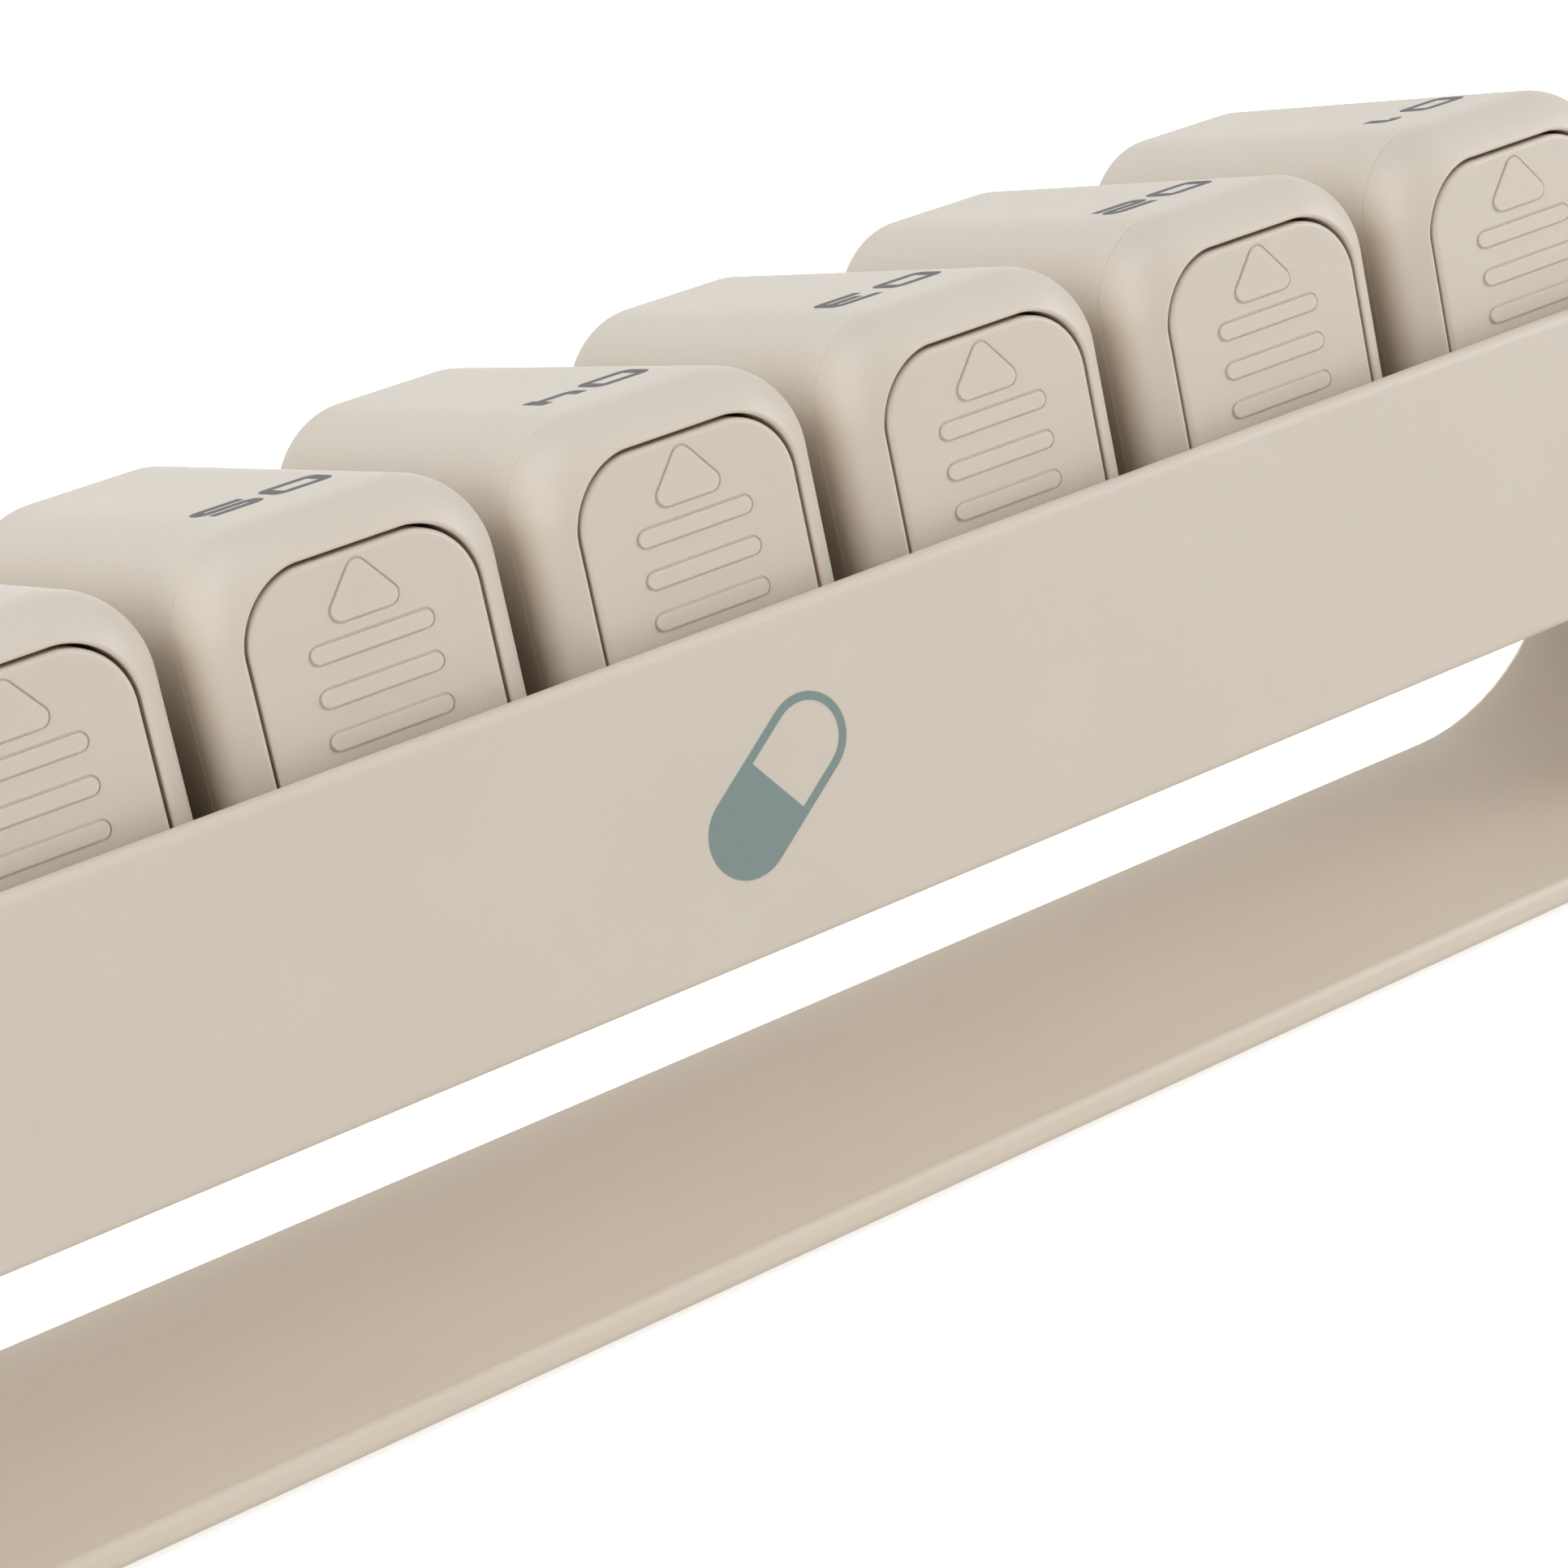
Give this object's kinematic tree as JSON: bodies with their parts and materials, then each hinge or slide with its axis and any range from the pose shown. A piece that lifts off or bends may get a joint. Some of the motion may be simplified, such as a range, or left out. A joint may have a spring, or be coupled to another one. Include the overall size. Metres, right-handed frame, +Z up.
{
  "type": "pill organizer",
  "caption": "Weekly pill organizer: lift-out day boxes with flush drop-front doors, standing in a racetrack-shaped carrier tray over an arched stand.",
  "frame": {"origin": "middle of the footprint, on the surface that the rubber pads stand on", "axes": "+X along the row of boxes, +Z up, the doors face -Y"},
  "size_m": [0.2834, 0.0564, 0.0782],
  "materials": {
    "carrier_plastic": "fine matt moulded beige",
    "box_plastic": "satin moulded beige",
    "front_plastic": "fine matt moulded beige",
    "pad_rubber": "matt"
  },
  "bodies": {
    "carrier": {"tray": "carrier_plastic", "stand": "carrier_plastic", "foot_pads": "pad_rubber"},
    "box_1": {"day_box_1": "box_plastic", "front_frame_1": "front_plastic"},
    "door_1": {"door_1": "front_plastic"},
    "box_2": {"day_box_2": "box_plastic", "front_frame_2": "front_plastic"},
    "door_2": {"door_2": "front_plastic"},
    "box_3": {"day_box_3": "box_plastic", "front_frame_3": "front_plastic"},
    "door_3": {"door_3": "front_plastic"},
    "box_4": {"day_box_4": "box_plastic", "front_frame_4": "front_plastic"},
    "door_4": {"door_4": "front_plastic"},
    "box_5": {"day_box_5": "box_plastic", "front_frame_5": "front_plastic"},
    "door_5": {"door_5": "front_plastic"},
    "box_6": {"day_box_6": "box_plastic", "front_frame_6": "front_plastic"},
    "door_6": {"door_6": "front_plastic"},
    "box_7": {"day_box_7": "box_plastic", "front_frame_7": "front_plastic"},
    "door_7": {"door_7": "front_plastic"}
  },
  "joints": [
    {"name": "box_lift_1", "type": "slide", "parent": "carrier", "child": "box_1", "axis": [0, 0, 1], "range_m": [0, 0.034]},
    {"name": "door_hinge_1", "type": "hinge", "parent": "box_1", "child": "door_1", "pos_m": [0.096, -0.02112, 0.0622], "axis": [1, 0, 0], "range_deg": [0, 80]},
    {"name": "box_lift_2", "type": "slide", "parent": "carrier", "child": "box_2", "axis": [0, 0, 1], "range_m": [0, 0.034]},
    {"name": "door_hinge_2", "type": "hinge", "parent": "box_2", "child": "door_2", "pos_m": [0.064, -0.02112, 0.0622], "axis": [1, 0, 0], "range_deg": [0, 80]},
    {"name": "box_lift_3", "type": "slide", "parent": "carrier", "child": "box_3", "axis": [0, 0, 1], "range_m": [0, 0.034]},
    {"name": "door_hinge_3", "type": "hinge", "parent": "box_3", "child": "door_3", "pos_m": [0.032, -0.02112, 0.0622], "axis": [1, 0, 0], "range_deg": [0, 80]},
    {"name": "box_lift_4", "type": "slide", "parent": "carrier", "child": "box_4", "axis": [0, 0, 1], "range_m": [0, 0.034]},
    {"name": "door_hinge_4", "type": "hinge", "parent": "box_4", "child": "door_4", "pos_m": [0, -0.02112, 0.0622], "axis": [1, 0, 0], "range_deg": [0, 80]},
    {"name": "box_lift_5", "type": "slide", "parent": "carrier", "child": "box_5", "axis": [0, 0, 1], "range_m": [0, 0.034]},
    {"name": "door_hinge_5", "type": "hinge", "parent": "box_5", "child": "door_5", "pos_m": [-0.032, -0.02112, 0.0622], "axis": [1, 0, 0], "range_deg": [0, 80]},
    {"name": "box_lift_6", "type": "slide", "parent": "carrier", "child": "box_6", "axis": [0, 0, 1], "range_m": [0, 0.034]},
    {"name": "door_hinge_6", "type": "hinge", "parent": "box_6", "child": "door_6", "pos_m": [-0.064, -0.02112, 0.0622], "axis": [1, 0, 0], "range_deg": [0, 80]},
    {"name": "box_lift_7", "type": "slide", "parent": "carrier", "child": "box_7", "axis": [0, 0, 1], "range_m": [0, 0.034]},
    {"name": "door_hinge_7", "type": "hinge", "parent": "box_7", "child": "door_7", "pos_m": [-0.096, -0.02112, 0.0622], "axis": [1, 0, 0], "range_deg": [0, 80]}
  ]
}
